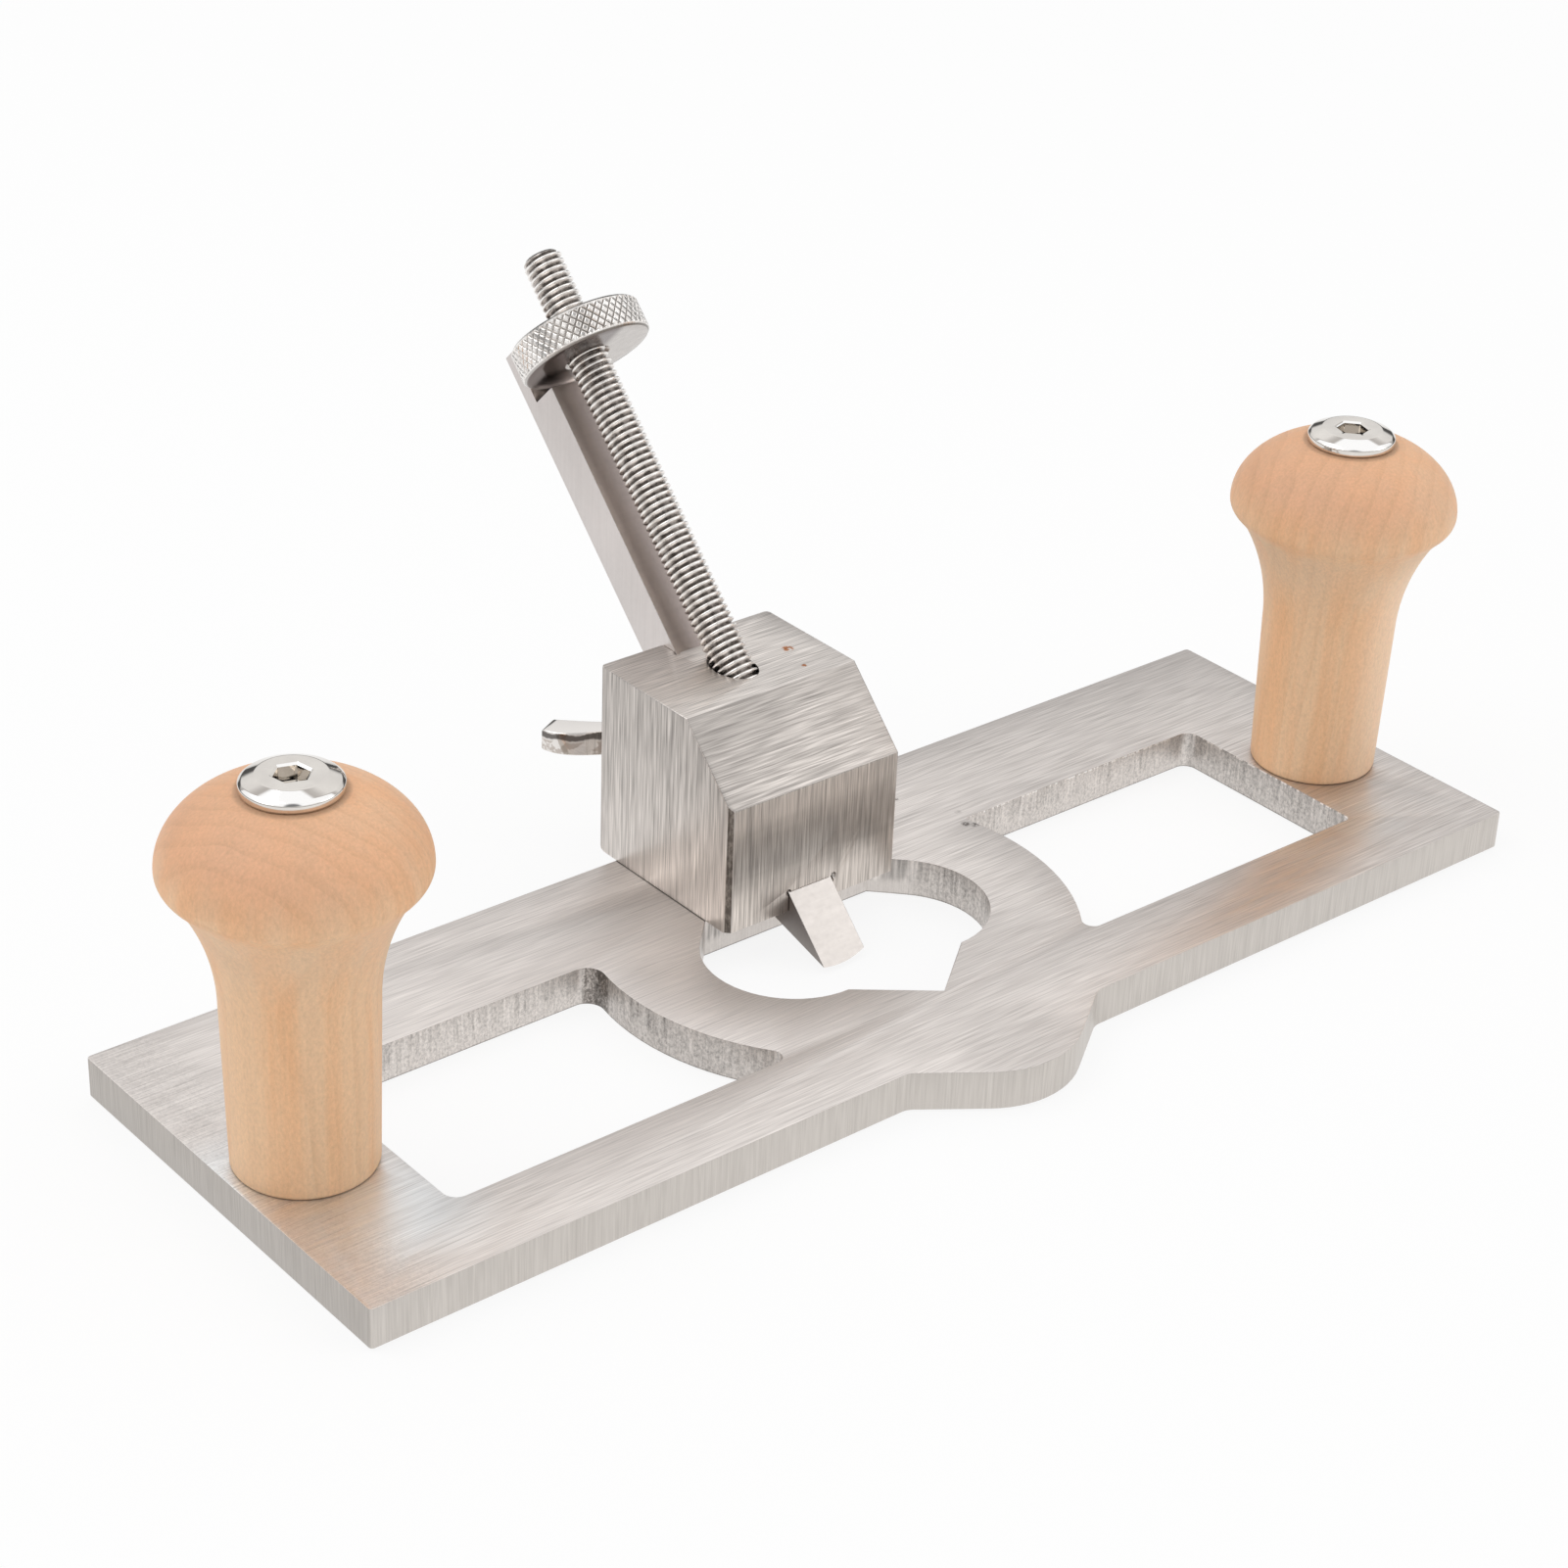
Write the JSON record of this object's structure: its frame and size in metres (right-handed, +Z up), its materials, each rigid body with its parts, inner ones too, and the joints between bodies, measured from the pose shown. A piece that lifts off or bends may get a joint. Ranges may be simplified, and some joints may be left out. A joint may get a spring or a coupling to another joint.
{
  "type": "hand router plane",
  "caption": "Flat metal hand plane with wooden knobs and a steel cutter bar held at forty-five degrees in a block, set for depth by a round nut on a threaded rod.",
  "frame": {"origin": "on the sole, straight below the middle of the block that holds the cutter bar", "axes": "+X along the plate towards the right knob, +Y to the back where the wing screw is, +Z up from the sole"},
  "size_m": [0.2126, 0.1168, 0.0829],
  "materials": {
    "plate_steel": "brushed, with short grinding lines",
    "tool_steel": "ground",
    "rod_steel": "bright rolled thread",
    "nickel": "bright nickel plate",
    "black_steel": "blackened",
    "pale_wood": "turned and lightly sanded, fine upright grain"
  },
  "bodies": {
    "frame": {"base_plate": "plate_steel", "cutter_block": "plate_steel", "block_screws": "black_steel", "depth_rod": "rod_steel", "left_knob": "pale_wood", "right_knob": "pale_wood", "left_knob_bolt": "nickel", "right_knob_bolt": "nickel"},
    "cutter": {"cutter_bar": "tool_steel"},
    "nut": {"depth_nut": "tool_steel"},
    "wing": {"wing_screw": "nickel"}
  },
  "joints": [
    {"name": "cutter_slide", "type": "slide", "parent": "frame", "child": "cutter", "axis": [0, 0.7071, 0.7071], "range_m": [-0.04, 0.01]},
    {"name": "nut_turn", "type": "hinge", "parent": "cutter", "child": "nut", "pos_m": [0, 0.04022, 0.07154], "axis": [0, 0.7071, 0.7071], "range_deg": [-14400, 3600]},
    {"name": "wing_turn", "type": "hinge", "parent": "frame", "child": "wing", "pos_m": [0, 0.018, 0.01845], "axis": [0, 1, 0], "range_deg": [0, 360]}
  ],
  "couplings": [
    {"joint": "nut_turn", "follows": "cutter_slide", "rad_per_m": 6283.1}
  ]
}
